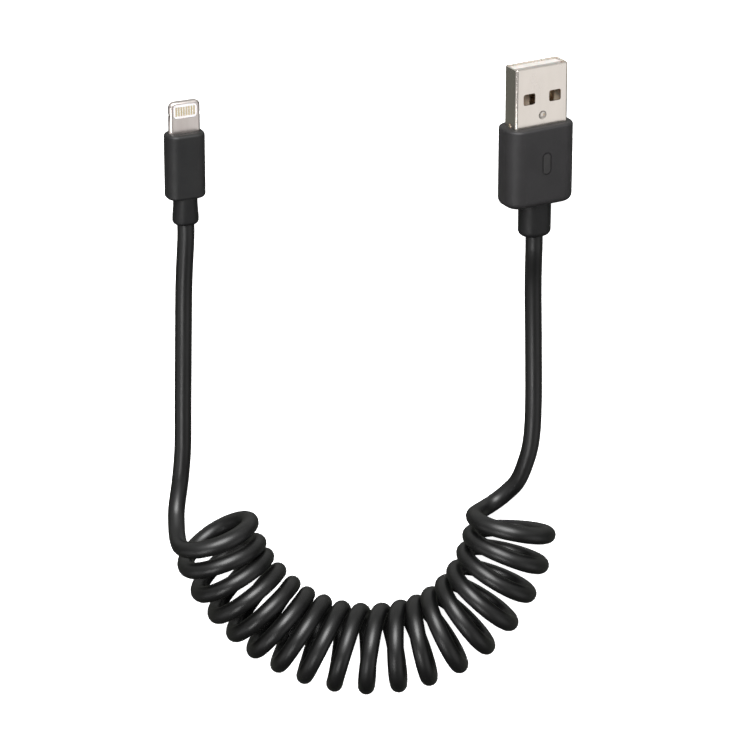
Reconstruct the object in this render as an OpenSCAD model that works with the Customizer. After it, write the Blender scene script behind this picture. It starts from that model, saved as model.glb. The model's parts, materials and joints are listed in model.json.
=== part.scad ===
// Coiled charging cable lying on a flat surface, as separate pieces.
// Both plugs point along +Y and are rolled about their own axes by the twist of the cord.
// Origin: centre of the two plugs' box, on the surface. +Z is up. Millimetres.

/* [Layout] */
// Distance across both plugs, from the tip plug's outer edge to the host plug's outer edge
plug_span = 81.4; // [60:0.2:110]
// How far the tip plug's end sits behind the host plug's end
tip_setback = 8.6; // [0:0.1:18]
// Roll of the host plug about its own axis, in degrees
host_roll = 29.5; // [0:0.5:45]
// Roll of the tip plug about its own axis, in degrees
tip_roll = 24; // [0:0.5:45]

/* [Host plug housing] */
// Width of the housing
host_width = 15.2; // [13.8:0.1:20]
// Thickness of the housing
host_thickness = 7.8; // [7.2:0.1:11]
// Length of the housing
host_length = 16.6; // [13.8:0.1:24]
// Radius of the housing's long edges
host_edge = 3; // [0.4:0.1:3.4]
// Width of the strain relief
host_relief_width = 6.8; // [5.6:0.1:8.4]
// Thickness of the strain relief
host_relief_thickness = 5.4; // [4.8:0.1:5.8]
// Length of the strain relief behind the housing
host_relief_length = 7; // [3:0.1:12]

/* [Host plug contacts] */
// Width of the metal shell
shell_width = 12; // [10:0.05:12.4]
// Thickness of the metal shell
shell_thickness = 4.5; // [4:0.05:5]
// How far the metal shell stands out of the housing
shell_reach = 12.3; // [11:0.1:15]
// Sheet thickness of the metal shell
shell_wall = 0.3; // [0.2:0.05:0.4]
// Width of each latch window in the shell
window_width = 2.7; // [1.5:0.1:3]
// Length of each latch window along the plug
window_length = 2.3; // [1.5:0.1:3]
// Distance between the centres of the two windows
window_spacing = 5.9; // [4:0.1:6.6]
// Distance from the shell's end to the front of the windows
window_setback = 5.2; // [4:0.1:7]
// Width of one contact blade
blade_width = 1; // [0.6:0.05:1.2]
// Thickness of one contact blade
blade_thickness = 0.3; // [0.2:0.05:0.4]

/* [Tip plug housing] */
// Width of the housing
tip_width = 8.2; // [8:0.1:12]
// Thickness of the housing
tip_thickness = 5.2; // [5.1:0.1:8]
// Length of the housing
tip_length = 13.7; // [12.4:0.1:20]
// Radius of the housing's long edges
tip_edge = 2.2; // [0.4:0.1:2.4]
// Width of the strain relief
tip_relief_width = 5.4; // [5:0.1:6.2]
// Thickness of the strain relief
tip_relief_thickness = 4.5; // [4.3:0.05:4.7]
// Length of the strain relief behind the housing
tip_relief_length = 5.7; // [3:0.1:10]

/* [Tip plug contacts] */
// Width of the metal tab
tab_width = 6.7; // [5.5:0.05:6.9]
// Thickness of the metal tab
tab_thickness = 1.5; // [1.3:0.05:1.8]
// How far the tab stands out of the housing
tab_reach = 6.5; // [5.5:0.1:8]
// Length of the contact window along the tab
tab_window_length = 3; // [2.6:0.1:4]
// Width of the rim at each side of the contact window
tab_rim = 0.8; // [0.45:0.05:0.9]
// Number of contact pads on each face
pad_count = 8; // [5:1:8]
// Distance between neighbouring pads
pad_pitch = 0.54; // [0.44:0.02:0.64]
// Width of one pad
pad_width = 0.36; // [0.3:0.02:0.46]

/* [Cord] */
// Diameter of the cord
cord_diameter = 3.5; // [2.8:0.1:4.2]
// Radius of the coil, to the middle of the cord
coil_radius = 7.8; // [6:0.1:10]
// Diameter of one insulated wire inside the cord
wire_diameter = 0.7; // [0.5:0.05:0.8]

/* [Hidden] */
$fn = 48;

fit = 0.05;              // clearance between pieces that are assembled into each other
crimp_wall = 0.4;        // sheet thickness of both crimp rings
crimp_length = 1.8;      // length of both crimp rings
flange_length = 1.2;     // length of the strain relief's flange, held inside the housing
host_flange_rim = [0.8, 0.4];   // how far the host plug's flange stands out in width and thickness
tip_flange_rim = [0.7, 0];      // how far the tip plug's flange stands out in width and thickness
rear_wall = 1;           // housing wall behind the flange
wire_offset = 0.75;      // distance of each wire from the cord's centre lines
wire_places = [for (corner = [[1, 1], [1, -1], [-1, -1], [-1, 1]])
    [corner.x * wire_offset, 0, corner.y * wire_offset]];
wire_start = 0.3;        // bare start of a wire, clear of the end of the jacket
solder_lift = 0.05;      // solder under each wire's end
solder_length = 0.8;
solder_rim = 0.12;       // solder at each side of a wire, and above it

// Host plug, measured from the middle of the housing's front face
host_flange_back = -host_length + rear_wall;
host_flange_front = host_flange_back + flange_length;
host_crimp_back = host_flange_front + fit;
host_shield_back = host_crimp_back + crimp_length;
shield_wall = 0.3;
host_jacket_end = host_shield_back + shield_wall;
shell_back = -5.2;
shell_edge = 0.7;
shell_inner_width = shell_width - 2 * shell_wall;
shell_inner_thickness = shell_thickness - 2 * shell_wall;
mouth_depth = 9.3;       // free depth above the insulator's tongue
insulator_setback = 0.35;
insulator_back = shell_back + 0.3;
blade_back = shell_back - 1.8;
blade_base = -0.2;       // height of the blades' undersides
blade_top = blade_base + blade_thickness;
blade_places = [3.5, 1, -1, -3.5];
blade_setbacks = [1.9, 2.9, 2.9, 1.9];
host_wire_end = shell_back - 0.3;
host_mould_front = insulator_back - fit;
joint_bay_width = 2 * blade_places[0] + blade_width + 0.4;   // room for the soldered joints

// Tip plug, measured from the middle of the housing's front face
tip_flange_back = -tip_length + rear_wall;
tip_flange_front = tip_flange_back + flange_length;
tip_crimp_back = tip_flange_front + fit;
can_back = tip_crimp_back + crimp_length;
can_wall = 0.15;
wire_hole = 2 * (norm([wire_offset, wire_offset]) + wire_diameter / 2 + fit);   // lets all four wires in
can_width = 6.6;
can_thickness = 3.4;
can_front = -0.8;
tip_jacket_end = can_back - fit;
board_thickness = 0.4;
board_back = can_back + 1.75;
board_top = board_thickness / 2;
tab_root = 1.6;          // length of the tab inside the housing
tab_window_setback = 0.45;
tab_window_front = tab_reach - tab_window_setback;
tab_window_back = tab_window_front - tab_window_length;
tab_window_width = tab_width - 2 * tab_rim;
board_front = tab_window_front - 0.3;
board_width = tab_window_width - 0.5;
pad_length = 1.9;
pad_depth = 0.15;
pad_step = min(pad_pitch, (tab_window_width - pad_width - 0.2) / (pad_count - 1));   // kept in the window
solder_places = [1.65, 0.55, -0.55, -1.65];
tip_wire_end = board_back + 1;
chip_size = [2.6, 1.9, 0.5];
chip_back = board_back + 1.4;
chip_middle = chip_back + chip_size.y / 2;

// Where each plug stands: half of its width and its height once it is rolled
function rolled(a, b, r, roll) = (a / 2 - r) * cos(roll) + (b / 2 - r) * sin(roll) + r;
host_half = rolled(host_width, host_thickness, host_edge, host_roll);
host_z = rolled(host_thickness, host_width, host_edge, host_roll);
tip_half = rolled(tip_width, tip_thickness, tip_edge, tip_roll);
tip_z = rolled(tip_thickness, tip_width, tip_edge, tip_roll);
host_total = shell_reach + host_length + host_relief_length;
host_x = plug_span / 2 - host_half;
host_y = host_total / 2 - shell_reach;
tip_x = tip_half - plug_span / 2;
tip_y = host_total / 2 - tip_setback - tab_reach;

// The cord's route. Each tail starts where the cord's jacket ends inside its plug, and the
// rest of its points are chosen by hand. The coil's axis has one point for every second turn.
tail_z = 1.8;
host_tail_points = [
    [host_x, host_y + host_jacket_end, host_z],
    [host_x, host_y - host_length - host_relief_length, host_z],
    [host_x, host_y - host_length - host_relief_length - 3, host_z],
    [33.3, -30, 3.4], [33.6, -42, tail_z], [33.8, -56, tail_z], [33.5, -64, tail_z],
    [32.5, -69, tail_z], [30.5, -74, tail_z], [26.5, -78, tail_z], [23.5, -79, 4]
];
tip_tail_points = [
    [tip_x, tip_y + tip_jacket_end, tip_z],
    [tip_x, tip_y - tip_length - tip_relief_length, tip_z],
    [tip_x, tip_y - tip_length - tip_relief_length - 3, tip_z],
    [-37.2, -30, 2.2], [-37.5, -42, tail_z], [-37.8, -56, tail_z], [-38, -66, tail_z],
    [-38.6, -73, 2], [-39.4, -79, 4.5], [-39.2, -82.5, 9]
];
coil_axis_points = [
    [-32, -80.5], [-28.5, -90], [-22.5, -98], [-14.5, -104], [-5, -108],
    [4.5, -108], [14.5, -104.5], [23, -97], [28, -86.5], [29.6, -76]
];
coil_turns = 17.5;
coil_outer = 2 * coil_radius + cord_diameter;
coil_z = coil_outer / 2;
tail_sides = 8;
coil_sides = 20;

// Smooth curve through a list of points, at place u counted in points
function past(p, i) = i < 0 ? 2 * p[0] - p[1]
    : i >= len(p) ? 2 * p[len(p) - 1] - p[len(p) - 2]
    : p[i];
function blend4(a, b, c, d, f) =
    0.5 * (2 * b + (c - a) * f + (2 * a - 5 * b + 4 * c - d) * f * f + (3 * b - a - 3 * c + d) * f * f * f);
function along(p, u) = let(i = min(floor(u), len(p) - 2))
    blend4(past(p, i - 1), p[i], p[i + 1], past(p, i + 2), u - i);
function route(p, steps) = [for (k = [0 : steps * (len(p) - 1)]) along(p, k / steps)];
function unit(v) = v / norm(v);

// A round tube swept along a route that stays near level
function heading(r, i) = unit(r[min(i + 1, len(r) - 1)] - r[max(i - 1, 0)]);
function ring(centre, dir, radius, sides) =
    let(side = unit(cross(dir, [0, 0, 1])), rise = cross(side, dir))
    [for (k = [0 : sides - 1]) centre + radius * (cos(360 * k / sides) * side + sin(360 * k / sides) * rise)];
module tube(r, diameter, sides) {
    last = len(r) - 1;
    points = [for (i = [0 : last]) each ring(r[i], heading(r, i), diameter / 2, sides)];
    walls = [for (i = [0 : last - 1], k = [0 : sides - 1])
        let(n = (k + 1) % sides)
        [i * sides + k, i * sides + n, (i + 1) * sides + n, (i + 1) * sides + k]];
    caps = [[for (k = [sides - 1 : -1 : 0]) k], [for (k = [0 : sides - 1]) last * sides + k]];
    polyhedron(points, concat(walls, caps), convexity = 6);
}

module at_host() { translate([host_x, host_y, host_z]) rotate([0, host_roll, 0]) children(); }
module at_tip() { translate([tip_x, tip_y, tip_z]) rotate([0, tip_roll, 0]) children(); }

// A bar with round long edges, lying along Y from back to front
module bar(width, thickness, edge, back, front) {
    translate([0, front, 0]) rotate([90, 0, 0]) linear_extrude(front - back)
        round_rect(width, thickness, edge);
}
module round_rect(width, thickness, edge) {
    square([width - 2 * edge, thickness], center = true);
    square([width, thickness - 2 * edge], center = true);
    for (x = [-1, 1], z = [-1, 1])
        translate([x * (width / 2 - edge), z * (thickness / 2 - edge)]) circle(edge);
}
// A plain block given by its width, its lowest and highest Z, and its back and front
module block(x, width, low, high, back, front) {
    translate([x - width / 2, back, low]) cube([width, front - back, high - low]);
}
module rod(from, to, diameter) {
    span = to - from;
    translate(from) rotate([0, acos(span.z / norm(span)), atan2(span.y, span.x)])
        cylinder(h = norm(span), d = diameter);
}
module bore(diameter, back, front) { rod([0, back, 0], [0, front, 0], diameter); }
// A wire from the end of the cord's jacket to its solder joint, with a slightly fuller bend
module wire(start, bend, end, grow = 0) {
    rod(start, bend, wire_diameter + 2 * grow);
    translate(bend) rotate([90, 0, 0]) sphere(d = 1.2 * wire_diameter + 2 * grow);
    rod(bend, end, wire_diameter + 2 * grow);
}
module crimp(back) {
    difference() {
        bore(cord_diameter + 2 * (fit + crimp_wall), back, back + crimp_length - fit);
        bore(cord_diameter + 2 * fit, back - 1, back + crimp_length + 1);
    }
}
module strain_relief(width, thickness, rim, length, flange_back, housing_length) {
    edge = thickness / 2 - fit;
    difference() {
        union() {
            bar(width + 2 * rim.x, thickness + 2 * rim.y, edge, flange_back, flange_back + flange_length);
            bar(width, thickness, edge, -housing_length - length, flange_back);
        }
        bore(cord_diameter + 2 * fit, -housing_length - length - 1, flange_back + flange_length + 1);
    }
}

// ---- host plug ----
module blade_shape(i, grow = 0) {
    front = shell_reach - blade_setbacks[i];
    block(blade_places[i], blade_width + 2 * grow, blade_base - grow, blade_top + grow, blade_back,
        front + grow);
}
module host_wire_shape(i, grow = 0) {
    z = blade_top + solder_lift + wire_diameter / 2;
    x = blade_places[i];
    start = wire_places[i] + [0, host_jacket_end + wire_start, 0];
    wire(start, [x, blade_back - 0.5, z], [x, host_wire_end, z], grow);
}
module solder_shape(places, low, front, grow = 0) {
    for (x = places)
        block(x, wire_diameter + 2 * (solder_rim + grow), low,
            low + solder_lift + wire_diameter + solder_rim + grow, front - solder_length - grow,
            front + grow);
}

module host_shell() {
    color("silver") at_host() difference() {
        bar(shell_width, shell_thickness, shell_edge, shell_back, shell_reach);
        bar(shell_inner_width, shell_inner_thickness, shell_edge - shell_wall, shell_back - 1,
            shell_reach + 1);
        for (x = [-1, 1])
            block(x * window_spacing / 2, window_width, -shell_thickness, shell_thickness,
                shell_reach - window_setback - window_length, shell_reach - window_setback);
    }
}
module host_insulator() {
    width = shell_inner_width - 2 * fit;
    half = shell_inner_thickness / 2 - fit;
    tongue_top = 0;
    color("white") at_host() difference() {
        bar(width, 2 * half, shell_edge - shell_wall, insulator_back, shell_reach - insulator_setback);
        block(0, shell_width, tongue_top, shell_thickness, shell_reach - mouth_depth, shell_reach);
        for (i = [0 : 3]) blade_shape(i, fit);
        for (i = [0 : 3])
            block(blade_places[i], blade_width + 2 * fit, blade_base - fit, blade_top + fit,
                insulator_back - 1, insulator_back + 1);
    }
}
module host_blade(i) { color("gold") at_host() blade_shape(i); }
module host_blade_power() { host_blade(0); }
module host_blade_minus() { host_blade(1); }
module host_blade_plus() { host_blade(2); }
module host_blade_ground() { host_blade(3); }
module host_rear_shield() {
    lap = 3;
    color("gainsboro") at_host() difference() {
        bar(shell_width + 2 * (fit + shield_wall), shell_thickness + 2 * (fit + shield_wall),
            shell_edge + shield_wall, host_shield_back, shell_back + lap);
        bar(shell_width + 2 * fit, shell_thickness + 2 * fit, shell_edge, host_shield_back + shield_wall,
            shell_back + lap + 1);
        bore(cord_diameter + 2 * fit, host_shield_back - 1, host_shield_back + 1);
    }
}
module host_crimp() { color("silver") at_host() crimp(host_crimp_back); }
module host_solder_joints() {
    color("lightgray") at_host() difference() {
        solder_shape(blade_places, blade_top, host_wire_end - 0.2);
        for (i = [0 : 3]) host_wire_shape(i);
    }
}
module host_wire(i) { at_host() host_wire_shape(i); }
module host_wire_red() { color("red") host_wire(0); }
module host_wire_white() { color("white") host_wire(1); }
module host_wire_green() { color("green") host_wire(2); }
module host_wire_black() { color("black") host_wire(3); }
module host_inner_mould() {
    color("ivory") at_host() difference() {
        bar(shell_inner_width - 2 * fit, shell_inner_thickness - 2 * fit, shell_edge - shell_wall,
            host_jacket_end + fit, host_mould_front);
        for (i = [0 : 3]) host_wire_shape(i, fit);
        block(0, joint_bay_width, blade_base - fit, blade_top + wire_diameter + 0.3, blade_back - 1,
            host_mould_front + 1);
    }
}
module host_housing() {
    color([0.17, 0.17, 0.18]) at_host() difference() {
        bar(host_width, host_thickness, host_edge, -host_length, 0);
        bar(shell_width + 2 * fit, shell_thickness + 2 * fit, shell_edge, shell_back, 1);
        bar(shell_width + 2 * (2 * fit + shield_wall), shell_thickness + 2 * (2 * fit + shield_wall),
            shell_edge + shield_wall, host_shield_back - fit, shell_back + 3 + fit);
        bore(cord_diameter + 2 * (2 * fit + crimp_wall), host_flange_front - fit, host_shield_back);
        bar(host_relief_width + 2 * host_flange_rim.x, host_relief_thickness + 2 * host_flange_rim.y,
            host_relief_thickness / 2 - fit, host_flange_back, host_flange_front);
        bar(host_relief_width, host_relief_thickness, host_relief_thickness / 2 - fit,
            -host_length - 1, host_flange_back + fit);
    }
}
module host_strain_relief() {
    color([0.15, 0.15, 0.16]) at_host()
        strain_relief(host_relief_width, host_relief_thickness, host_flange_rim, host_relief_length,
            host_flange_back, host_length);
}

// ---- tip plug ----
module tab_outline(width, length, corner) {
    translate([-width / 2, -tab_root]) square([width, length - corner]);
    translate([corner - width / 2, -tab_root]) square([width - 2 * corner, length]);
    for (x = [-1, 1]) translate([x * (width / 2 - corner), length - tab_root - corner]) circle(corner);
}
module tab_window(width, back, front, low, high) {
    corner = 0.7;
    translate([0, 0, low]) linear_extrude(high - low) {
        translate([-width / 2, back + corner]) square([width, front - back - 2 * corner]);
        translate([corner - width / 2, back]) square([width - 2 * corner, front - back]);
        for (x = [-1, 1], y = [back + corner, front - corner])
            translate([x * (width / 2 - corner), y]) circle(corner);
    }
}
module pads_shape(side, grow = 0) {
    middle = (tab_window_back + tab_window_front) / 2;
    low = tab_thickness / 2 - pad_depth;
    for (k = [0 : pad_count - 1])
        translate([(k - (pad_count - 1) / 2) * pad_step, middle, side * (low + pad_depth / 2)])
            cube([pad_width + 2 * grow, pad_length + 2 * grow, pad_depth + 2 * grow], center = true);
}
module board_shape(grow = 0) {
    block(0, board_width + 2 * grow, -board_top - grow, board_top + grow, board_back - grow,
        board_front + grow);
}
module chip_shape(grow = 0) {
    block(0, chip_size.x + 2 * grow, board_top, board_top + chip_size.z + grow, chip_back - grow,
        chip_back + chip_size.y + grow);
}
module capacitors_shape(grow = 0) {
    for (x = [-1.6, 0, 1.6])
        block(x, 0.6 + 2 * grow, -board_top - 0.45 - grow, -board_top, chip_middle - 0.5 - grow,
            chip_middle + 0.5 + grow);
}
module tip_wire_shape(i, grow = 0) {
    z = board_top + solder_lift + wire_diameter / 2;
    x = solder_places[i];
    start = wire_places[i] + [0, tip_jacket_end + wire_start, 0];
    wire(start, [x, board_back - 0.4, z], [x, tip_wire_end, z], grow);
}

module tip_tab() {
    notch = 0.9;
    color("silver") at_tip() difference() {
        intersection() {
            bar(tab_width, tab_thickness, tab_thickness / 2 - 0.02, -tab_root, tab_reach);
            translate([0, 0, -tab_thickness]) linear_extrude(2 * tab_thickness)
                tab_outline(tab_width, tab_reach + tab_root, 1.1);
        }
        tab_window(tab_window_width, tab_window_back, tab_window_front, -tab_thickness, tab_thickness);
        block(0, board_width + 2 * fit, -board_top - fit, board_top + fit, -tab_root - 1,
            tab_window_back + 1);
        for (x = [-1, 1])
            translate([x * (tab_width / 2 + notch / 2 - 0.25), tab_window_back + 0.7, 0])
                cylinder(h = 2 * tab_thickness, d = notch, center = true);
    }
}
module insert_shape(low, high) {
    tab_window(tab_window_width - 2 * fit, tab_window_back + fit, tab_window_front - fit, low, high);
}
module tip_insert_front() {
    color("white") at_tip() difference() {
        insert_shape(0, tab_thickness / 2);
        board_shape(fit);
        pads_shape(1, 0);
    }
}
module tip_insert_back() {
    color("white") at_tip() difference() {
        insert_shape(-tab_thickness / 2, -fit);
        board_shape(fit);
        pads_shape(-1, 0);
    }
}
module tip_pads_front() { color("gold") at_tip() pads_shape(1); }
module tip_pads_back() { color("gold") at_tip() pads_shape(-1); }
module tip_circuit_board() { color("darkgreen") at_tip() board_shape(); }
module tip_control_chip() { color("dimgray") at_tip() chip_shape(); }
module tip_capacitors() { color("tan") at_tip() capacitors_shape(); }
module can_half(low, high) {
    difference() {
        block(0, can_width, low, high, can_back, can_front);
        block(0, can_width - 2 * can_wall, -can_thickness / 2 + can_wall, can_thickness / 2 - can_wall,
            can_back + can_wall, can_front - can_wall);
        bore(wire_hole, can_back - 1, can_back + 1);
        bar(tab_width + 2 * fit, tab_thickness + 2 * fit, tab_thickness / 2, can_front - 1, can_front + 1);
    }
}
module tip_shield_upper() { color("gainsboro") at_tip() can_half(0, can_thickness / 2); }
module tip_shield_lower() { color("lightgray") at_tip() can_half(-can_thickness / 2, 0); }
module tip_crimp() { color("silver") at_tip() crimp(tip_crimp_back); }
module tip_solder_joints() {
    color("lightgray") at_tip() difference() {
        solder_shape(solder_places, board_top, tip_wire_end - 0.1);
        for (i = [0 : 3]) tip_wire_shape(i);
    }
}
module tip_wire(i) { at_tip() tip_wire_shape(i); }
module tip_wire_red() { color("red") tip_wire(0); }
module tip_wire_white() { color("white") tip_wire(1); }
module tip_wire_green() { color("green") tip_wire(2); }
module tip_wire_black() { color("black") tip_wire(3); }
module tip_inner_mould() {
    color("ivory") at_tip() difference() {
        block(0, can_width - 2 * (can_wall + fit), -can_thickness / 2 + can_wall + fit,
            can_thickness / 2 - can_wall - fit, can_back + can_wall + fit, -tab_root - fit);
        board_shape(fit);
        chip_shape(fit);
        capacitors_shape(fit);
        for (i = [0 : 3]) tip_wire_shape(i, fit);
        solder_shape(solder_places, board_top, tip_wire_end - 0.1, fit);
    }
}
module tip_housing() {
    color([0.18, 0.18, 0.19]) at_tip() difference() {
        bar(tip_width, tip_thickness, tip_edge, -tip_length, 0);
        bar(tab_width + 2 * fit, tab_thickness + 2 * fit, tab_thickness / 2, -tab_root, 1);
        block(0, can_width + 2 * fit, -can_thickness / 2 - fit, can_thickness / 2 + fit, can_back - fit,
            can_front + fit);
        bore(cord_diameter + 2 * (2 * fit + crimp_wall), tip_flange_front - fit, can_back);
        bar(tip_relief_width + 2 * tip_flange_rim.x, tip_relief_thickness + 2 * tip_flange_rim.y,
            tip_relief_thickness / 2 - fit, tip_flange_back, tip_flange_front);
        bar(tip_relief_width, tip_relief_thickness, tip_relief_thickness / 2 - fit,
            -tip_length - 1, tip_flange_back + fit);
    }
}
module tip_strain_relief() {
    color([0.16, 0.16, 0.17]) at_tip()
        strain_relief(tip_relief_width, tip_relief_thickness, tip_flange_rim, tip_relief_length,
            tip_flange_back, tip_length);
}

// ---- cord ----
module cord_host_tail() {
    color([0.08, 0.08, 0.08]) tube(route(host_tail_points, 3), cord_diameter, tail_sides);
}
module cord_tip_tail() {
    color([0.08, 0.08, 0.08]) tube(route(tip_tail_points, 3), cord_diameter, tail_sides);
}
module cord_coil() {
    level = [for (p = coil_axis_points) [p.x, p.y, coil_z]];
    steps = 24;
    last = coil_turns / 2;
    axis = [for (k = [0 : steps]) along(level, last * k / steps)];
    color([0.1, 0.1, 0.1]) tube(axis, coil_outer, coil_sides);
}
host_shell();
host_insulator();
host_blade_power();
host_blade_minus();
host_blade_plus();
host_blade_ground();
host_rear_shield();
host_crimp();
host_solder_joints();
host_wire_red();
host_wire_white();
host_wire_green();
host_wire_black();
host_inner_mould();
host_housing();
host_strain_relief();
tip_tab();
tip_insert_front();
tip_insert_back();
tip_pads_front();
tip_pads_back();
tip_circuit_board();
tip_control_chip();
tip_capacitors();
tip_shield_upper();
tip_shield_lower();
tip_crimp();
tip_solder_joints();
tip_wire_red();
tip_wire_white();
tip_wire_green();
tip_wire_black();
tip_inner_mould();
tip_housing();
tip_strain_relief();
cord_host_tail();
cord_coil();
cord_tip_tail();
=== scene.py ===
import json
import math

import bmesh
import bpy
from mathutils import Matrix, Vector


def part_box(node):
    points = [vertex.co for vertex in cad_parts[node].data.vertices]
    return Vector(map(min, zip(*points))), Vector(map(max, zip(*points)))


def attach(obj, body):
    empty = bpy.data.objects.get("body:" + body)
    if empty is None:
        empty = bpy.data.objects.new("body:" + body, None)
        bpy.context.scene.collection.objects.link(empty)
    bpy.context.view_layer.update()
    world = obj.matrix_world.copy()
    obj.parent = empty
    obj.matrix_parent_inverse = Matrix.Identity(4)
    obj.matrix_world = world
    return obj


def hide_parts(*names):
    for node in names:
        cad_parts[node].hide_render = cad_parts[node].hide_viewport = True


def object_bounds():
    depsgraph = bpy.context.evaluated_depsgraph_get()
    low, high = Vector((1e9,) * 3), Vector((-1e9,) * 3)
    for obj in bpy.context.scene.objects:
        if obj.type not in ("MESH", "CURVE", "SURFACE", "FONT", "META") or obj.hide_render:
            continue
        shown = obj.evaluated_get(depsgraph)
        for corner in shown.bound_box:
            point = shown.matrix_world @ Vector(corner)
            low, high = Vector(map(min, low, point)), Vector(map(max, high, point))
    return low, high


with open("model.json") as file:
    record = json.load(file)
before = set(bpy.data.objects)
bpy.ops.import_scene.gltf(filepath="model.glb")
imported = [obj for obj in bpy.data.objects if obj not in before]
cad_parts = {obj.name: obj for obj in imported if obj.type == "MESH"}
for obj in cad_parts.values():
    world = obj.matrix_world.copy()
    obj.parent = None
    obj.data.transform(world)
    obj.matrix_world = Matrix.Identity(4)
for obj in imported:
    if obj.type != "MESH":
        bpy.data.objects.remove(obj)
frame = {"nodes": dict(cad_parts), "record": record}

cadBox = [list(corner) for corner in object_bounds()]
mm = 0.001
mounts = {m["name"]: Vector(m["pos_m"]) for m in frame["record"]["mounts"]}
print("frame loaded, nodes:", len(frame["nodes"]))

view = {
    "target": (-0.41, -48.8, 0),   # mm, the place on the table that the camera looks at
    "elevation": 68,               # degrees above the table, on the plugs' side
    "distance": 900,               # mm
    "lens": 216.9,
    "filmWidth": 36,
    "reach": 20,                   # metres, the farthest thing the camera sees
}


def addCamera():
    data = bpy.data.cameras.new("camera")
    data.lens = view["lens"]
    data.sensor_width = view["filmWidth"]
    data.clip_end = view["reach"]
    eye = bpy.data.objects.new("camera", data)
    bpy.context.scene.collection.objects.link(eye)
    tilt = math.radians(90 - view["elevation"])
    back = Vector((0, math.sin(tilt), math.cos(tilt)))
    up = Vector((0, math.cos(tilt), -math.sin(tilt)))
    turn = Matrix((up.cross(back), up, back)).transposed()
    spot = (Vector(view["target"]) + view["distance"] * back) * mm
    eye.matrix_world = Matrix.Translation(spot) @ turn.to_4x4()
    bpy.context.scene.camera = eye


addCamera()
print("camera placed")


def addObject(name, mesh, place=None):
    if place:
        mesh.transform(place)
    piece = bpy.data.objects.new(name, mesh)
    bpy.context.scene.collection.objects.link(piece)
    return piece


def addMesh(name, verts, faces, place=None):
    # points are in mm, in the plug's own frame where a place is given
    mesh = bpy.data.meshes.new(name)
    mesh.from_pydata([Vector(v) * mm for v in verts], [], faces)
    body = bmesh.new()
    body.from_mesh(mesh)
    bmesh.ops.recalc_face_normals(body, faces=body.faces)
    body.to_mesh(mesh)
    body.free()
    return addObject(name, mesh, place)


def addPiece(name, verts, faces, material, place=None, smoothAngle=38):
    piece = addMesh(name, verts, faces, place)
    piece.data.materials.append(material)
    softenShading(piece, smoothAngle)
    weigh = piece.modifiers.new("evenNormals", "WEIGHTED_NORMAL")
    weigh.keep_sharp = True
    return piece


def softenShading(piece, smoothAngle=38):
    # edges bent by more than this many degrees stay sharp
    piece.data.shade_smooth()
    piece.data.set_sharp_from_angle(angle=math.radians(smoothAngle))


def roundedRing(width, depth, edge, perCorner=8):
    # points of a rectangle with rounded corners, in the XZ plane
    least, spare = 0.02, 0.001      # mm, smallest corner and the flat that is left of a side
    edge = max(least, min(edge, width / 2 - spare, depth / 2 - spare))
    ring = []
    for sideX, sideZ, start in ((1, 1, 0), (-1, 1, 90), (-1, -1, 180), (1, -1, 270)):
        for k in range(perCorner + 1):
            a = math.radians(start + 90 * k / perCorner)
            ring.append((sideX * (width / 2 - edge) + edge * math.cos(a),
                         sideZ * (depth / 2 - edge) + edge * math.sin(a)))
    return ring


def loftedBody(stations, perCorner=8):
    # stations are (y, width, thickness, corner), from one end to the other
    verts, faces = [], []
    size = 4 * (perCorner + 1)
    for y, width, depth, edge in stations:
        verts += [(x, y, z) for x, z in roundedRing(width, depth, edge, perCorner)]
    for i in range(len(stations) - 1):
        for k in range(size):
            n = (k + 1) % size
            faces.append((i * size + k, i * size + n, (i + 1) * size + n, (i + 1) * size + k))
    faces.append(tuple(range(size)))
    faces.append(tuple(range((len(stations) - 1) * size, len(stations) * size)))
    return verts, faces


def fillet(y, inward, width, depth, edge, radius, steps=6):
    # stations that round an end: from the flat face at y to the full section further in
    stations = []
    for k in range(steps + 1):
        a = math.radians(90 * k / steps)
        inset = radius * (1 - math.sin(a))
        stations.append((y + inward * radius * (1 - math.cos(a)), width - 2 * inset,
                         depth - 2 * inset, edge - inset))
    return stations


def plate(outline, low, high):
    # a flat outline in the XY plane, made solid between two heights
    count = len(outline)
    verts = [(x, y, low) for x, y in outline] + [(x, y, high) for x, y in outline]
    faces = [tuple(range(count)), tuple(range(count, 2 * count))]
    faces += [(k, (k + 1) % count, count + (k + 1) % count, count + k) for k in range(count)]
    return verts, faces


def roundedOutline(x, y, width, length, corner, perCorner=6):
    return [(x + a, y + b) for a, b in roundedRing(width, length, corner, perCorner)]


def carve(piece, tools):
    # cuts solids out of a piece and leaves a plain mesh
    for tool in tools:
        step = piece.modifiers.new("cut", "BOOLEAN")
        step.operation = "DIFFERENCE"
        step.solver = "EXACT"
        step.object = tool
        bakeModifiers(piece)
        bpy.data.objects.remove(tool)


def bakeModifiers(piece):
    # the piece's mesh as its modifiers leave it
    graph = bpy.context.evaluated_depsgraph_get()
    graph.update()
    mesh = bpy.data.meshes.new_from_object(piece.evaluated_get(graph))
    old = piece.data
    piece.modifiers.clear()
    piece.data = mesh
    bpy.data.meshes.remove(old)


def cutter(shape, place):
    return addMesh("cutter", *shape, place)


def ballCutter(centre, radius, place):
    mesh = bpy.data.meshes.new("cutter")
    body = bmesh.new()
    bmesh.ops.create_icosphere(body, subdivisions=4, radius=radius * mm)
    body.to_mesh(mesh)
    body.free()
    return addObject("cutter", mesh, place @ Matrix.Translation(Vector(centre) * mm))


def repaint(piece, material):
    piece.data.materials.clear()
    piece.data.materials.append(material)
    for face in piece.data.polygons:
        face.material_index = 0


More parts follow.
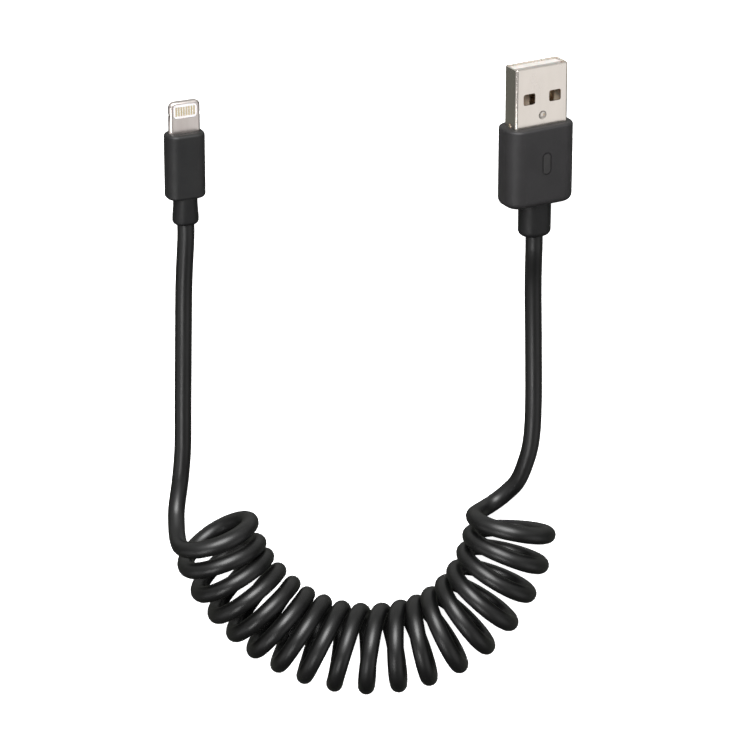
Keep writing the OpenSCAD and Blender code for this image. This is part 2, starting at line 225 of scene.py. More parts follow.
def flattenPlanes(piece, place, top, near=0.012, flat=0.9995):
    # points within near of the wide faces' height are set exactly on them, then flat sides
    # stay flat in the light and only rounded ones are smooth
    back = place.inverted()
    for point in piece.data.vertices:
        spot = back @ point.co
        if abs(abs(spot.z) - top * mm) < near * mm:
            spot.z = math.copysign(top * mm, spot.z)
            point.co = place @ spot
    piece.data.update()
    turn = place.to_3x3().transposed()
    for face in piece.data.polygons:
        normal = turn @ face.normal
        face.use_smooth = max(abs(part) for part in normal) < flat


def roundEdges(piece, width, steps=2, angle=50):
    # a small bevel on every edge bent by more than the angle
    bevel = piece.modifiers.new("round", "BEVEL")
    bevel.width = width * mm
    bevel.segments = steps
    bevel.limit_method = "ANGLE"
    bevel.angle_limit = math.radians(angle)
    bevel.use_clamp_overlap = True
    bakeModifiers(piece)
    mergePoints(piece)


def mergePoints(piece, apart=0.002):
    # joins points that lie closer than this, in mm, and drops the empty faces between them
    body = bmesh.new()
    body.from_mesh(piece.data)
    bmesh.ops.remove_doubles(body, verts=body.verts, dist=apart * mm)
    bmesh.ops.dissolve_degenerate(body, edges=body.edges, dist=apart * mm)
    body.to_mesh(piece.data)
    body.free()


def plugPlace(plug, stop):
    # a plug's own frame: the middle of its front face, rolled as its two mounts say
    centre, edge = mounts[plug], mounts[stop]
    roll = math.atan2(centre.z - edge.z, edge.x - centre.x)
    return Matrix.Translation((centre.x, edge.y, centre.z)) @ Matrix.Rotation(roll, 4, "Y")


hostPlace = plugPlace("host_plug", "host_stop")
tipPlace = plugPlace("tip_plug", "tip_stop")


finishBasics = {
    "coatRough": 0.3,
    "depthScale": 1.0,         # mm that light goes into a pale plastic
    "cloud": (0.3, 0.7),       # a noise's values that are stretched to its full range
    "rimWearAndSheen": (0.53, 0.62),      # how far an edge stands out where the lighter edge, part wear and part painted highlight, starts and is full
    "rimWearAndSheenGrain": (0.5, 1),     # the grain's part in it
    "roughShare": 0.6,         # size of the gloss blotches, as a share of the colour's
}


def tone(code):
    # colour written as in a paint chart, turned into light values
    parts = [int(code[k:k + 2], 16) / 255 for k in (0, 2, 4)]
    return [p / 12.92 if p < 0.04045 else ((p + 0.055) / 1.055) ** 2.4 for p in parts] + [1]


def addFinish(name, look):
    # a surface made of soft blotches, fine grain and, on some pieces, lighter edges that are partly
    # wear and partly a painted highlight on the rims
    material = bpy.data.materials.new(name)
    material.use_nodes = True
    nodes, links = material.node_tree.nodes, material.node_tree.links
    shader = nodes["Principled BSDF"]
    shader.inputs["Metallic"].default_value = look.get("metal", 0)
    shader.inputs["Specular IOR Level"].default_value = look.get("shine", 0.5)
    shader.inputs["Coat Weight"].default_value = look.get("coat", 0)
    shader.inputs["Coat Roughness"].default_value = finishBasics["coatRough"]
    shader.inputs["Subsurface Weight"].default_value = look.get("depth", 0)
    shader.inputs["Subsurface Scale"].default_value = finishBasics["depthScale"] * mm
    place = nodes.new("ShaderNodeTexCoord")
    stretch = nodes.new("ShaderNodeMapping")
    stretch.inputs["Scale"].default_value = look.get("stretch", (1, 1, 1))
    links.new(place.outputs["Object"], stretch.inputs["Vector"])

    def mapped(value, start, end, low=0, high=1):
        change = nodes.new("ShaderNodeMapRange")
        for key, number in (("From Min", start), ("From Max", end), ("To Min", low), ("To Max", high)):
            change.inputs[key].default_value = number
        links.new(value, change.inputs["Value"])
        return change.outputs["Result"]

    def noise(size, detail):
        # size is that of one blotch, in mm
        cloud = nodes.new("ShaderNodeTexNoise")
        cloud.inputs["Scale"].default_value = 1 / (size * mm)
        cloud.inputs["Detail"].default_value = detail
        links.new(stretch.outputs["Vector"], cloud.inputs["Vector"])
        return cloud.outputs["Fac"]

    def spread(value, low, high):
        return mapped(value, *finishBasics["cloud"], low, high)

    def mix(amount, first, second):
        blend = nodes.new("ShaderNodeMix")
        blend.data_type = "RGBA"
        links.new(amount, blend.inputs["Factor"])
        for value, slot in ((first, blend.inputs["A"]), (second, blend.inputs["B"])):
            if isinstance(value, list):
                slot.default_value = value
            else:
                links.new(value, slot)
        return blend.outputs["Result"]

    blotch = noise(look["blotch"], detail=3)
    grain = noise(look["grain"], detail=look.get("grainDetail", 2))
    colour = mix(spread(blotch, 0, 1), tone(look["dark"]), tone(look["light"]))
    if "paintedInnerShade" in look:
        # painted shade: darker further inside the plug, where the windows look in, between two places
        # along it
        start, end, code = look["paintedInnerShade"]
        along = nodes.new("ShaderNodeSeparateXYZ")
        links.new(place.outputs["Object"], along.inputs["Vector"])
        colour = mix(mapped(along.outputs["Y"], start * mm, end * mm), colour, tone(code))
    # lighter edges: partly real wear, partly a painted highlight where the rims catch the light
    if "rimWearAndSheenTone" in look:
        form = nodes.new("ShaderNodeNewGeometry")
        edge = mapped(form.outputs["Pointiness"], *finishBasics["rimWearAndSheen"], 0, look["rimWearAndSheen"])
        wearAndSheen = nodes.new("ShaderNodeMath")
        wearAndSheen.operation = "MULTIPLY"
        links.new(edge, wearAndSheen.inputs[0])
        links.new(spread(grain, *finishBasics["rimWearAndSheenGrain"]), wearAndSheen.inputs[1])
        colour = mix(wearAndSheen.outputs["Value"], colour, tone(look["rimWearAndSheenTone"]))
    links.new(colour, shader.inputs["Base Color"])
    gloss = noise(look["blotch"] * finishBasics["roughShare"], detail=2)
    links.new(spread(gloss, *look["rough"]), shader.inputs["Roughness"])
    bump = nodes.new("ShaderNodeBump")
    bump.inputs["Strength"].default_value = look["bump"]
    bump.inputs["Distance"].default_value = look["relief"] * mm
    links.new(grain, bump.inputs["Height"])
    links.new(bump.outputs["Normal"], shader.inputs["Normal"])
    return material


# dark and light are the blotches' two colours, and the sizes of a blotch, of the grain and
# of its relief are in mm; a finish with painted inner shade turns to a shaded colour between two
# places along Y
finishLooks = {
    "cordJacket": {"dark": "030303", "light": "080808", "blotch": 9, "grain": 0.16, "grainDetail": 3,
                   "rough": (0.36, 0.44), "bump": 0.2, "relief": 0.015, "shine": 0.42},
    "mouldedHousing": {"dark": "181718", "light": "1c1b1c", "blotch": 5, "grain": 0.12,
                       "rough": (0.5, 0.6), "bump": 0.3, "relief": 0.015, "shine": 0.36,
                       "rimWearAndSheenTone": "4a4a46", "rimWearAndSheen": 0.5},
    "tipMoulding": {"dark": "0d0d0e", "light": "121212", "blotch": 4, "grain": 0.12,
                    "rough": (0.48, 0.58), "bump": 0.3, "relief": 0.015, "shine": 0.36,
                    "rimWearAndSheenTone": "4a4a46", "rimWearAndSheen": 0.5},
    "mouldedRelief": {"dark": "060606", "light": "0a0a0b", "blotch": 4, "grain": 0.14,
                      "rough": (0.46, 0.56), "bump": 0.28, "relief": 0.015, "shine": 0.3,
                      "rimWearAndSheenTone": "3e3e3d", "rimWearAndSheen": 0.4},
    "platedShell": {"dark": "e0d8cf", "light": "e8e0d8", "blotch": 5, "grain": 0.09,
                    "stretch": (1, 0.35, 1), "rough": (0.22, 0.28), "bump": 0.06, "relief": 0.004,
                    "metal": 1},
    "platedTab": {"dark": "cec5c0", "light": "dcd4cf", "blotch": 2.5, "grain": 0.09,
                  "stretch": (1, 0.15, 1), "rough": (0.28, 0.38), "bump": 0.12, "relief": 0.006,
                  "metal": 1},
    "goldContact": {"dark": "d3c198", "light": "e2d3b0", "blotch": 0.8, "grain": 0.06,
                    "stretch": (1, 0.2, 1), "rough": (0.25, 0.36), "bump": 0.12, "relief": 0.005,
                    "metal": 1},
    # the blade and the tongue below carry painted shade deeper inside the plug
    "goldBlade": {"dark": "c9ab74", "light": "dcc494", "blotch": 0.8, "grain": 0.06,
                  "stretch": (1, 0.2, 1), "rough": (0.25, 0.36), "bump": 0.12, "relief": 0.005,
                  "metal": 1, "paintedInnerShade": (16.5, 14.5, "9c8b76")},
    "whiteTongue": {"dark": "8f8c88", "light": "9d9a96", "paintedInnerShade": (16.5, 14.5, "9a8c7c"),
                    "blotch": 2.5, "grain": 0.11,
                    "rough": (0.36, 0.5), "bump": 0.2, "relief": 0.01, "depth": 0.12},
    "whiteInsert": {"dark": "b6b1b1", "light": "c2bebe", "blotch": 1.6, "grain": 0.09,
                    "rough": (0.34, 0.46), "bump": 0.2, "relief": 0.008, "depth": 0.1},
    "tinnedShield": {"dark": "9b9b98", "light": "b4b3af", "blotch": 2.2, "grain": 0.1,
                     "rough": (0.34, 0.5), "bump": 0.25, "relief": 0.01, "metal": 1},
    "solderAlloy": {"dark": "a3a3a1", "light": "c2c2bf", "blotch": 0.5, "grain": 0.12,
                    "rough": (0.28, 0.5), "bump": 0.5, "relief": 0.03, "metal": 1},
    "innerMould": {"dark": "d6cfbe", "light": "e3ddce", "blotch": 1.8, "grain": 0.12,
                   "rough": (0.5, 0.64), "bump": 0.35, "relief": 0.02, "depth": 0.15},
    "redInsulation": {"dark": "9c1a17", "light": "b8231f", "blotch": 1.2, "grain": 0.08,
                      "rough": (0.38, 0.5), "bump": 0.2, "relief": 0.008},
    "whiteInsulation": {"dark": "d8d6d0", "light": "e8e6e1", "blotch": 1.2, "grain": 0.08,
                        "rough": (0.38, 0.5), "bump": 0.2, "relief": 0.008},
    "greenInsulation": {"dark": "1d6b34", "light": "26803f", "blotch": 1.2, "grain": 0.08,
                        "rough": (0.38, 0.5), "bump": 0.2, "relief": 0.008},
    "blackInsulation": {"dark": "131314", "light": "1d1d1e", "blotch": 1.2, "grain": 0.08,
                        "rough": (0.38, 0.5), "bump": 0.2, "relief": 0.008},
    "solderMask": {"dark": "0f4425", "light": "185a33", "blotch": 0.7, "grain": 0.14,
                   "rough": (0.26, 0.4), "bump": 0.4, "relief": 0.02, "coat": 0.3},
    "chipResin": {"dark": "1a1a1b", "light": "262627", "blotch": 0.7, "grain": 0.06,
                  "rough": (0.55, 0.7), "bump": 0.4, "relief": 0.01},
    "ceramicBody": {"dark": "8f6f4b", "light": "a98560", "blotch": 0.5, "grain": 0.06,
                    "rough": (0.4, 0.55), "bump": 0.3, "relief": 0.01},
}
finishes = {name: addFinish(name, look) for name, look in finishLooks.items()}
print("finishes made:", len(finishes))

cordShape = {
    "diameter": 3.5,         # mm, as all lengths here
    "coilRadius": 7.8,       # from the coil's middle line to the cord's
    "turns": 17.5,
    "bunching": 1.2,         # how strongly the turns bunch up on one side of the coil
    "bunchStart": 0.2,       # where in a turn that is at the tip's end, nothing from the middle on
    "leans": [-0.4, -0.5, -0.7, -0.6, 0.1, 1.2, 2.0, 2.8],   # sideways set of the turns, end to end
    "leanFirst": 0.9,        # extra for the first turn, which stands open
    "leanFirstTurns": 1.2,   # how far that goes on
    "firstTurn": 0.06,       # where the coil takes over from the tip's tail
    "perTurn": 32,           # points made for each turn, and between two points of a tail
    "perTailPoint": 8,
    "insideRelief": 4.0,     # cord inside a relief, and straight on from it
    "straightOut": 3.0,
    "sides": 16,
    "step": 1.0,             # spacing of the cord's rings
}
# the tails' points, as the model of the parts has them, in metres
hostTailPoints = [
    (0.0333, -0.030, 0.0034), (0.0336, -0.042, 0.0018), (0.0338, -0.056, 0.0018),
    (0.0335, -0.064, 0.0018), (0.0325, -0.069, 0.0018), (0.0305, -0.074, 0.0018),
    (0.0265, -0.078, 0.0018), (0.0235, -0.079, 0.004),
]
tipTailPoints = [
    (-0.0372, -0.030, 0.0022), (-0.0375, -0.042, 0.0018), (-0.0378, -0.056, 0.0018),
    (-0.038, -0.066, 0.0018), (-0.0386, -0.073, 0.002), (-0.0394, -0.079, 0.0045),
    (-0.0392, -0.0825, 0.009),
]
# the coil's middle line, a point for every second turn, eased at its bend so that the turns
# only just touch
turnsPerPoint = 2
coilAxisPoints = [
    (-0.032, -0.0805), (-0.0285, -0.090), (-0.0225, -0.098), (-0.015, -0.104), (-0.0055, -0.1076),
    (0.0053, -0.1077), (0.015, -0.1044), (0.023, -0.097), (0.028, -0.0865), (0.0296, -0.076),
]


def pointOn(points, u):
    # smooth curve through the points, at place u counted in points
    last = len(points) - 1
    i = max(0, min(int(math.floor(u)), last - 1))
    f = u - i
    b, c = points[i], points[i + 1]
    a = points[i - 1] if i > 0 else 2 * b - c
    d = points[i + 2] if i + 2 <= last else 2 * c - b
    return 0.5 * (2 * b + (c - a) * f + (2 * a - 5 * b + 4 * c - d) * f ** 2
                  + (3 * b - a - 3 * c + d) * f ** 3)


def coilPoint(t, near=0.05):
    # t counts turns from the tip's end of the coil, and near is the bit of a turn to each
    # side that gives the middle line's direction
    shape = cordShape
    axis = [Vector((x, y, 0)) for x, y in coilAxisPoints]
    phase = shape["bunchStart"] * max(0, 1 - 2 * t / shape["turns"])
    s = t - shape["bunching"] * math.sin(2 * math.pi * (t - phase)) / (2 * math.pi)
    before, after = (pointOn(axis, (s + k) / turnsPerPoint) for k in (-near, near))
    run = (after - before).normalized()
    outward = Vector((run.y, -run.x, 0))
    radius = shape["coilRadius"] * mm
    turned = 2 * math.pi * t
    share = s / shape["turns"]
    lean = pointOn(shape["leans"], share * (len(shape["leans"]) - 1))
    if t < shape["leanFirstTurns"]:
        lean += shape["leanFirst"] * math.sin(math.pi * t / shape["leanFirstTurns"])
    sway = lean * mm * math.sin(turned)
    point = pointOn(axis, s / turnsPerPoint) + radius * math.cos(turned) * outward + sway * run
    point.z = radius + shape["diameter"] * mm / 2 + radius * math.sin(turned)
    return point


def tailPath(mouth, points):
    # from inside the relief to the coil
    inward = mouth + Vector((0, cordShape["insideRelief"] * mm, 0))
    outward = mouth - Vector((0, cordShape["straightOut"] * mm, 0))
    tail = [inward, mouth, outward] + [Vector(p) for p in points]
    fine = cordShape["perTailPoint"]
    return [pointOn(tail, k / fine) for k in range(fine * (len(tail) - 1) + 1)]


def cordPath():
    # from the host plug's relief, through the coil, to the tip's
    first, last = cordShape["firstTurn"], cordShape["turns"]
    count = int((last - first) * cordShape["perTurn"])
    path = tailPath(tipExit, tipTailPoints)
    path += [coilPoint(first + (last - first) * k / count) for k in range(count + 1)]
    path += reversed(tailPath(hostExit, hostTailPoints))
    path.reverse()
    return relaxed(evenly(path, cordShape["step"] * mm))


def evenly(path, step, least=1e-6):
    # the same line with its points a fixed step apart, those closer than least taken as one
    clean = [path[0]]
    for p in path[1:]:
        if (p - clean[-1]).length > least:
            clean.append(p)
    total = sum((b - a).length for a, b in zip(clean, clean[1:]))
    count = round(total / step)
    result, walked, i = [clean[0].copy()], 0, 0
    for k in range(1, count):
        goal = total * k / count
        while walked + (clean[i + 1] - clean[i]).length < goal:
            walked += (clean[i + 1] - clean[i]).length
            i += 1
        part = (goal - walked) / (clean[i + 1] - clean[i]).length
        result.append(clean[i].lerp(clean[i + 1], part))
    result.append(clean[-1].copy())
    return result


def relaxed(path, rounds=60, tightest=4.6, reach=4):
    # eases only the bends that are tighter than the cord would take, in mm, and reach points
    # to each side of them
    for _ in range(rounds):
        tight = set()
        for k in range(1, len(path) - 1):
            before, after = path[k] - path[k - 1], path[k + 1] - path[k]
            turn = before.angle(after)
            if turn > 0.5 * (before.length + after.length) / (tightest * mm):
                tight.update(range(max(2, k - reach), min(len(path) - 3, k + reach + 1)))
        if not tight:
            break
        moved = {k: path[k].lerp((path[k - 1] + path[k + 1]) / 2, 0.5) for k in tight}
        for k, p in moved.items():
            path[k] = p
    return path


def sweptTube(path, radius, sides):
    # a round tube along the path, its rings carried without twist
    verts, faces = [], []
    run = (path[1] - path[0]).normalized()
    side = run.cross(Vector((0, 0, 1))).normalized()
    for k, p in enumerate(path):
        run = (path[min(k + 1, len(path) - 1)] - path[max(k - 1, 0)]).normalized()
        side = (side - run * side.dot(run)).normalized()
        rise = run.cross(side)
        for j in range(sides):
            a = 2 * math.pi * j / sides
            verts.append((p + radius * (math.cos(a) * side + math.sin(a) * rise)) / mm)
    for k in range(len(path) - 1):
        for j in range(sides):
            n = (j + 1) % sides
            faces.append((k * sides + j, k * sides + n, (k + 1) * sides + n, (k + 1) * sides + j))
    faces.append(tuple(range(sides)))
    faces.append(tuple(range((len(path) - 1) * sides, len(path) * sides)))
    return verts, faces


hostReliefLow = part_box("host_strain_relief")[0]
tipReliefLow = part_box("tip_strain_relief")[0]
hostExit = Vector((mounts["host_plug"].x, hostReliefLow.y, mounts["host_plug"].z))
tipExit = Vector((mounts["tip_plug"].x, tipReliefLow.y, mounts["tip_plug"].z))
path = cordPath()
cordMesh = addPiece("cord", *sweptTube(path, cordShape["diameter"] / 2 * mm, cordShape["sides"]),
                    finishes["cordJacket"], smoothAngle=60)
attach(cordMesh, "root")
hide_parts("cord_host_tail", "cord_coil", "cord_tip_tail")

# what both plugs share, in mm
plugFit = {
    "seatGap": 0.06,         # round the metal and the relief, where they go into a housing
    "frontSeat": 1.2,        # depth of that seat in front, and behind
    "rearSeat": 0.8,
    "reliefInside": 0.6,     # how far a relief reaches into its housing
    "reliefStraight": 1.2,   # its straight end there
    "cordGap": 0.1,          # how much wider than the cord the relief's mouth is
    "mouthDepth": 1.5,
    "past": 1.0,             # how far a cutter runs past what it cuts
    "metalSmoothAngle": 34,
}
hostLook = {
    "housing": (15.2, 7.8, 3.0),      # width, thickness, corner
    "length": 16.6,
    "frontRound": 0.6,
    "rearRound": 1.6,
    "relief": (6.8, 5.4, 2.65),
    "reliefLength": 7.0,
    "reliefRound": 1.3,
    "reliefNeck": 0,                  # how far its narrow sides draw in at the housing
    "shell": (12.0, 4.5, 0.5),
    "wall": 0.3,
    "reach": 12.3,
    "seat": 5.2,                      # length of the shell inside the housing
    "mouthRound": 0.12,
    "edgeRound": 0.07,
    "window": (2.7, 2.3, 0.45),       # width, length, corner
    "windowSpacing": 5.9,
    "windowSetback": 5.2,
    "mark": (2.2, 4.8),               # plain oval ring engraved in the wide face
    "markLine": 0.34,
    "markMiddle": (0.3, -7.5),
    "markDepth": 0.2,
    "dentMiddle": (0.15, 2.25),       # pressed dent near the shell's base
    "dentRadius": 2.2,
    "dentDepth": 0.2,
    "dentHole": 0.5,                  # the hole punched in it, and how far it is off the middle
    "dentHoleSide": 0.4,
    "sideHole": 0.9,                  # round hole in each narrow side of the shell
    "sideHolePlace": 0.3,
    "seamWidth": 0.12,                # seam of the rolled shell, on the hidden wide face
    "seamDepth": 0.12,
    "seamCorner": 0.02,
}


def grown(section, by):
    width, depth, edge = section
    return width + 2 * by, depth + 2 * by, edge + by


def housingBody(name, look, opening, place, material):
    # a moulded body with a shallow seat round the metal in front and round the relief behind
    section, length = look["housing"], look["length"]
    front, back = grown(opening, plugFit["seatGap"]), grown(look["relief"], plugFit["seatGap"])
    stations = [(-length + plugFit["rearSeat"], *back), (-length, *back)]
    stations += fillet(-length, 1, *section, look["rearRound"])
    stations += reversed(fillet(0, -1, *section, look["frontRound"]))
    stations += [(0, *front), (-plugFit["frontSeat"], *front)]
    return addPiece(name, *loftedBody(stations, perCorner=10), material, place)


def reliefBody(name, look, place, steps=8):
    # a sleeve from inside the housing to the rounded mouth where the cord leaves it
    width, depth, edge = look["relief"]
    neck = look["reliefNeck"]
    start = -look["length"] + plugFit["reliefInside"]
    end = -look["length"] - look["reliefLength"]
    bore = cordShape["diameter"] + plugFit["cordGap"]
    hole = (bore, bore, bore / 2)
    stations = [(end + plugFit["mouthDepth"], *hole), (end, *hole)]
    stations += fillet(end, 1, width, depth, edge, look["reliefRound"])
    flare = end + look["reliefRound"]
    narrowed = start - plugFit["reliefStraight"] - flare
    for k in range(1, steps + 1):
        slim = neck * (1 - math.cos(math.pi * k / steps)) / 2
        stations.append((flare + narrowed * k / steps, width - 2 * slim, depth, edge))
    stations.append((start, width - 2 * neck, depth, edge))
    return addPiece(name, *loftedBody(stations, perCorner=10), finishes["mouldedRelief"], place)


def disc(x, y, size):
    return roundedOutline(x, y, size, size, size / 2, perCorner=8)


def ovalRing(place, middle, width, length, line, low, high):
    # a flat oval band, used to engrave a groove of that shape
    x, y = middle
    past = plugFit["past"]
    outline = roundedOutline(x, y, width, length, width / 2, perCorner=10)
    outer = cutter(plate(outline, low, high), place)
    width -= 2 * line
    length -= 2 * line
    outline = roundedOutline(x, y, width, length, width / 2, perCorner=10)
    carve(outer, [cutter(plate(outline, low - past, high + past), place)])
    return outer


def engravedHousing():
    look = hostLook
    material = finishes["mouldedHousing"]
    housing = housingBody("hostHousing", look, look["shell"], hostPlace, material)
    thickness = look["housing"][1]
    ring = ovalRing(hostPlace, look["markMiddle"], *look["mark"], look["markLine"],
                    thickness / 2 - look["markDepth"], thickness)
    housing.modifiers.clear()
    carve(housing, [ring])
    softenShading(housing)
    flattenPlanes(housing, hostPlace, thickness / 2)
    repaint(housing, material)
    return housing


def rolledShell():
    look = hostLook
    section, seat, reach = look["shell"], look["seat"], look["reach"]
    width, depth, edge = section
    top, past = depth / 2, plugFit["past"]
    stations = [(-seat, *section)]
    stations += reversed(fillet(reach, -1, *section, look["mouthRound"], steps=3))
    material = finishes["platedShell"]
    shell = addPiece("hostShell", *loftedBody(stations, perCorner=6), material, hostPlace)
    shell.modifiers.clear()
    hollow = grown(section, -look["wall"])
    inside = loftedBody([(-seat - past, *hollow), (reach + past, *hollow)], perCorner=4)
    cuts = [cutter(inside, hostPlace)]
    windowWidth, windowLength, corner = look["window"]
    middle = reach - look["windowSetback"] - windowLength / 2
    for side in (-1, 1):
        x = side * look["windowSpacing"] / 2
        outline = roundedOutline(x, middle, windowWidth, windowLength, corner)
        cuts.append(cutter(plate(outline, -depth, depth), hostPlace))
    sideways = hostPlace @ Matrix.Rotation(math.radians(90), 4, "Y")
    hole = disc(0, look["sideHolePlace"], look["sideHole"])
    cuts.append(cutter(plate(hole, -width, width), sideways))
    seam = roundedOutline(0, 0, look["seamWidth"], 4 * reach, look["seamCorner"], perCorner=2)
    cuts.append(cutter(plate(seam, -depth, -top + look["seamDepth"]), hostPlace))
    carve(shell, cuts)
    roundEdges(shell, look["edgeRound"])
    # the dent and its hole come after the rounding, so that their edges stay crisp
    x, y = look["dentMiddle"]
    ball = look["dentRadius"]
    punch = disc(x + look["dentHoleSide"], y, look["dentHole"])
    carve(shell, [ballCutter((x, y, top + ball - look["dentDepth"]), ball, hostPlace),
                  cutter(plate(punch, 0, depth), hostPlace)])
    mergePoints(shell)
    softenShading(shell, plugFit["metalSmoothAngle"])
    flattenPlanes(shell, hostPlace, top)
    repaint(shell, material)
    return shell


hostHousing = engravedHousing()
hostRelief = reliefBody("hostRelief", hostLook, hostPlace)
hostShell = rolledShell()
for piece, node, slot in ((hostHousing, "host_housing", "housing"),
                          (hostRelief, "host_strain_relief", "strain_relief"),
                          (hostShell, "host_shell", "shell_metal")):
    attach(piece, "root")
    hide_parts(node)
print("host plug made")

tipLook = {
    "housing": (8.2, 5.2, 2.2),       # width, thickness, corner
    "length": 13.7,
    "frontRound": 0.7,
    "rearRound": 0.7,
    "relief": (5.4, 4.5, 2.2),
    "reliefLength": 5.7,
    "reliefRound": 0.9,
    "reliefNeck": 0.25,               # how far its narrow sides draw in at the housing
    "tab": (6.7, 1.5),                # width, thickness
    "reach": 6.5,
    "root": 1.6,                      # length of the tab inside the housing
    "planCorner": 1.1,                # front corners, seen on the wide face
    "frontEdge": 0.4,                 # rounding of the front edge
    "edgeSpare": 0.01,                # flat that is left on the narrow sides
    "edgeRound": 0.05,
    "windowBack": 3.05,               # the contacts' window, from the housing's face
    "windowFront": 6.05,
    "windowWidth": 5.1,
    "windowCorner": 0.7,
    "notch": 0.9,                     # round notch in each narrow side
    "notchPlace": 3.75,
    "notchDepth": 0.25,
}


def tabStations():
    look = tipLook
    width, depth = look["tab"]
    reach, corner, edge = look["reach"], look["planCorner"], look["frontEdge"]
    places = [-look["root"], 0, 2, 4]
    places += [reach - corner * (1 - math.sin(math.radians(a))) for a in range(0, 91, 9)]
    stations = []
    for y in places:
        past = max(0, y - (reach - corner))
        thin = max(0, y - (reach - edge))
        w = width - 2 * (corner - math.sqrt(max(0, corner ** 2 - past ** 2)))
        t = depth - 2 * (edge - math.sqrt(max(0, edge ** 2 - thin ** 2)))
        stations.append((y, w, t, t / 2 - look["edgeSpare"]))
    return stations


def contactTab():
    look = tipLook
    width, depth = look["tab"]
    material = finishes["platedTab"]
    tab = addPiece("tipTab", *loftedBody(tabStations()), material, tipPlace)
    tab.modifiers.clear()
    length = look["windowFront"] - look["windowBack"]
    middle = (look["windowFront"] + look["windowBack"]) / 2
    window = roundedOutline(0, middle, look["windowWidth"], length, look["windowCorner"])
    cuts = [cutter(plate(window, -depth, depth), tipPlace)]
    notch = look["notch"]
    for side in (-1, 1):
        x = side * (width / 2 + notch / 2 - look["notchDepth"])
        outline = roundedOutline(x, look["notchPlace"], notch, notch, notch / 2)
        cuts.append(cutter(plate(outline, -depth, depth), tipPlace))
    carve(tab, cuts)
    roundEdges(tab, look["edgeRound"])
    softenShading(tab, plugFit["metalSmoothAngle"])
    flattenPlanes(tab, tipPlace, depth / 2)
    repaint(tab, material)
    return tab


tabWidth, tabDepth = tipLook["tab"]
tipHousing = housingBody("tipHousing", tipLook, (tabWidth, tabDepth, tabDepth / 2), tipPlace,
                         finishes["tipMoulding"])
tipRelief = reliefBody("tipRelief", tipLook, tipPlace)
tipTab = contactTab()
for piece, node, slot in ((tipHousing, "tip_housing", "housing"),
                          (tipRelief, "tip_strain_relief", "strain_relief"),
                          (tipTab, "tip_tab", "tab_metal")):
    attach(piece, "root")
    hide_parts(node)
print("tip plug made")

keptFinishes = {
    "insulator": "whiteTongue", "insert": "whiteInsert", "blade": "goldBlade", "pads": "goldContact",
    "shield": "tinnedShield", "crimp": "tinnedShield", "solder": "solderAlloy", "mould": "innerMould",
    "wire_red": "redInsulation", "wire_white": "whiteInsulation", "wire_green": "greenInsulation",
    "wire_black": "blackInsulation", "board": "solderMask", "chip": "chipResin",
    "capacitors": "ceramicBody",
}


def paintKept():
    for name, node in frame["nodes"].items():
        for word, finish in keptFinishes.items():
            if word in name:
                node.data.materials.clear()
                node.data.materials.append(finishes[finish])
                break


paintKept()
print("kept parts painted")

stageLook = {
    "size": 3.0,                    # metres
    "glow": 0.93,                   # light of the table's own, so that shadows stay faint
    "tableTones": (0.95, 0.98),
    "tableBlotch": 25,              # mm
    "tableRough": 0.9,
    "tableShine": 0.1,
    "below": (0.13, 0.135, 0.12),   # room below, at and above the table's level
    "level": (0.27, 0.27, 0.27),
    "above": (0.32, 0.32, 0.32),
    "heights": (0.4, 0.54, 1),      # where these three are, 0 straight down and 1 straight up
    "ahead": 0.5,                   # extra light from ahead of the plugs
    "aheadSpan": (0.1, 0.5),        # where it sets in and is full, along Y
    "behind": 0.3,                  # share that is left behind the coil
    "behindSpan": (-1, -0.45),
    "lampsRound": (0, -0.05, 0),    # metres, the spot that the lamps stand round and light
    "lamps": [                      # name, direction, distance and width in metres, brightness
        ("lampRight", (0.794, -0.375, 0.477), 1.1, 0.9, 0.66),
        ("lampLeft", (-0.85, -0.375, 0.37), 1.2, 0.7, 0.9),
        ("lampOver", (-0.35, -0.375, 0.86), 1.2, 0.5, 8),
        ("lampAhead", (-0.03, 0.75, 0.66), 1.2, 0.95, 15),
    ],
}


def addTable():
    low = cadBox[0][2]
    half = stageLook["size"] / 2
    corners = [(-half, -half, low), (half, -half, low), (half, half, low), (-half, half, low)]
    mesh = bpy.data.meshes.new("table")
    mesh.from_pydata(corners, [], [(0, 1, 2, 3)])
    table = addObject("table", mesh)
    table.visible_glossy = False    # dark gloss pieces don't mirror it
    material = bpy.data.materials.new("paleTable")
    material.use_nodes = True
    nodes, links = material.node_tree.nodes, material.node_tree.links
    shader = nodes["Principled BSDF"]
    shader.inputs["Roughness"].default_value = stageLook["tableRough"]
    shader.inputs["Specular IOR Level"].default_value = stageLook["tableShine"]
    shader.inputs["Emission Strength"].default_value = stageLook["glow"]
    cloud = nodes.new("ShaderNodeTexNoise")
    cloud.inputs["Scale"].default_value = 1 / (stageLook["tableBlotch"] * mm)
    shade = nodes.new("ShaderNodeMapRange")
    for key, tint in zip(("To Min", "To Max"), stageLook["tableTones"]):
        shade.inputs[key].default_value = tint
    links.new(cloud.outputs["Fac"], shade.inputs["Value"])
    links.new(shade.outputs["Result"], shader.inputs["Base Color"])
    links.new(shade.outputs["Result"], shader.inputs["Emission Color"])
    mesh.materials.append(material)


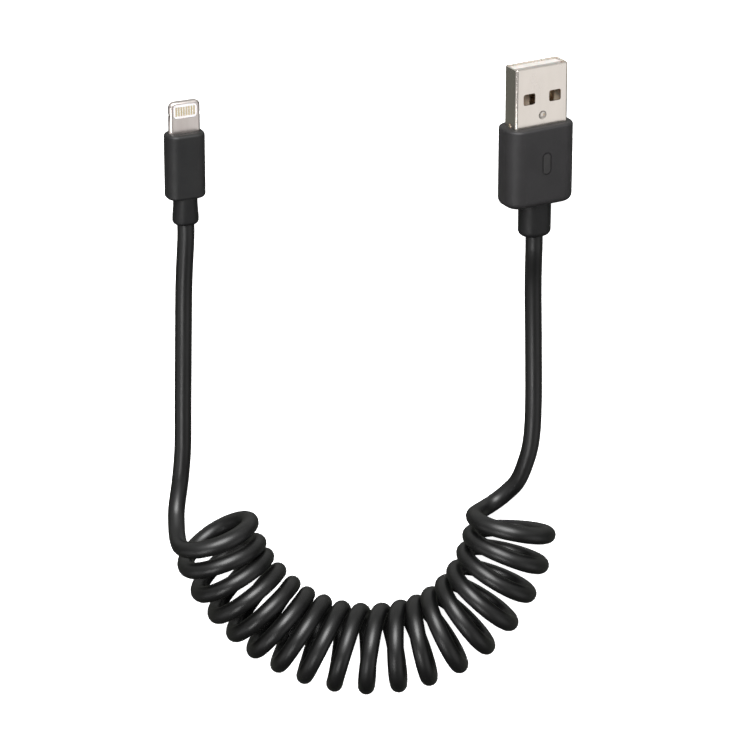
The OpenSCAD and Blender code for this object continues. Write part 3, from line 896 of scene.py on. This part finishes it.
def addRoom():
    # a pale room, brightest overhead and ahead of the plugs, darker below and behind the coil
    world = bpy.data.worlds.new("room")
    world.use_nodes = True
    nodes, links = world.node_tree.nodes, world.node_tree.links
    way = nodes.new("ShaderNodeTexCoord")
    split = nodes.new("ShaderNodeSeparateXYZ")
    links.new(way.outputs["Generated"], split.inputs["Vector"])

    def share(axis, low, high, first, last):
        change = nodes.new("ShaderNodeMapRange")
        change.interpolation_type = "SMOOTHSTEP"
        for key, value in (("From Min", low), ("From Max", high), ("To Min", first), ("To Max", last)):
            change.inputs[key].default_value = value
        links.new(split.outputs[axis], change.inputs["Value"])
        return change.outputs["Result"]

    def tinted(amount, colour, kind):
        blend = nodes.new("ShaderNodeMix")
        blend.data_type = "RGBA"
        blend.blend_type = kind
        blend.clamp_result = False
        blend.inputs["Factor"].default_value = 1
        links.new(amount, blend.inputs["B"])
        links.new(colour, blend.inputs["A"])
        return blend.outputs["Result"]

    ramp = nodes.new("ShaderNodeValToRGB")
    stops = ramp.color_ramp.elements
    below, level, above = stageLook["heights"]
    stops[0].position, stops[1].position = below, above
    stops.new(level)
    for stop, name in zip(stops, ("below", "level", "above")):
        stop.color = [*stageLook[name], 1]
    links.new(share("Z", -1, 1, 0, 1), ramp.inputs["Fac"])
    dim = share("Y", *stageLook["behindSpan"], stageLook["behind"], 1)
    extra = share("Y", *stageLook["aheadSpan"], 0, stageLook["ahead"])
    lit = tinted(extra, tinted(dim, ramp.outputs["Color"], "MULTIPLY"), "ADD")
    links.new(lit, nodes["Background"].inputs["Color"])
    bpy.context.scene.world = world


def addLamps():
    for name, direction, distance, width, brightness in stageLook["lamps"]:
        way = Vector(direction)
        light = bpy.data.lights.new(name, "AREA")
        light.shape = "DISK"
        light.size = width
        light.energy = brightness * math.pi * math.pi * width ** 2 / 4   # wider lamps give more
        lamp = bpy.data.objects.new(name, light)
        lamp.location = Vector(stageLook["lampsRound"]) + way.normalized() * distance
        lamp.rotation_euler = way.to_track_quat("Z", "Y").to_euler()
        bpy.context.scene.collection.objects.link(lamp)


addTable()
addRoom()
addLamps()
bpy.context.scene.view_settings.view_transform = "Standard"
print("table and lights set")
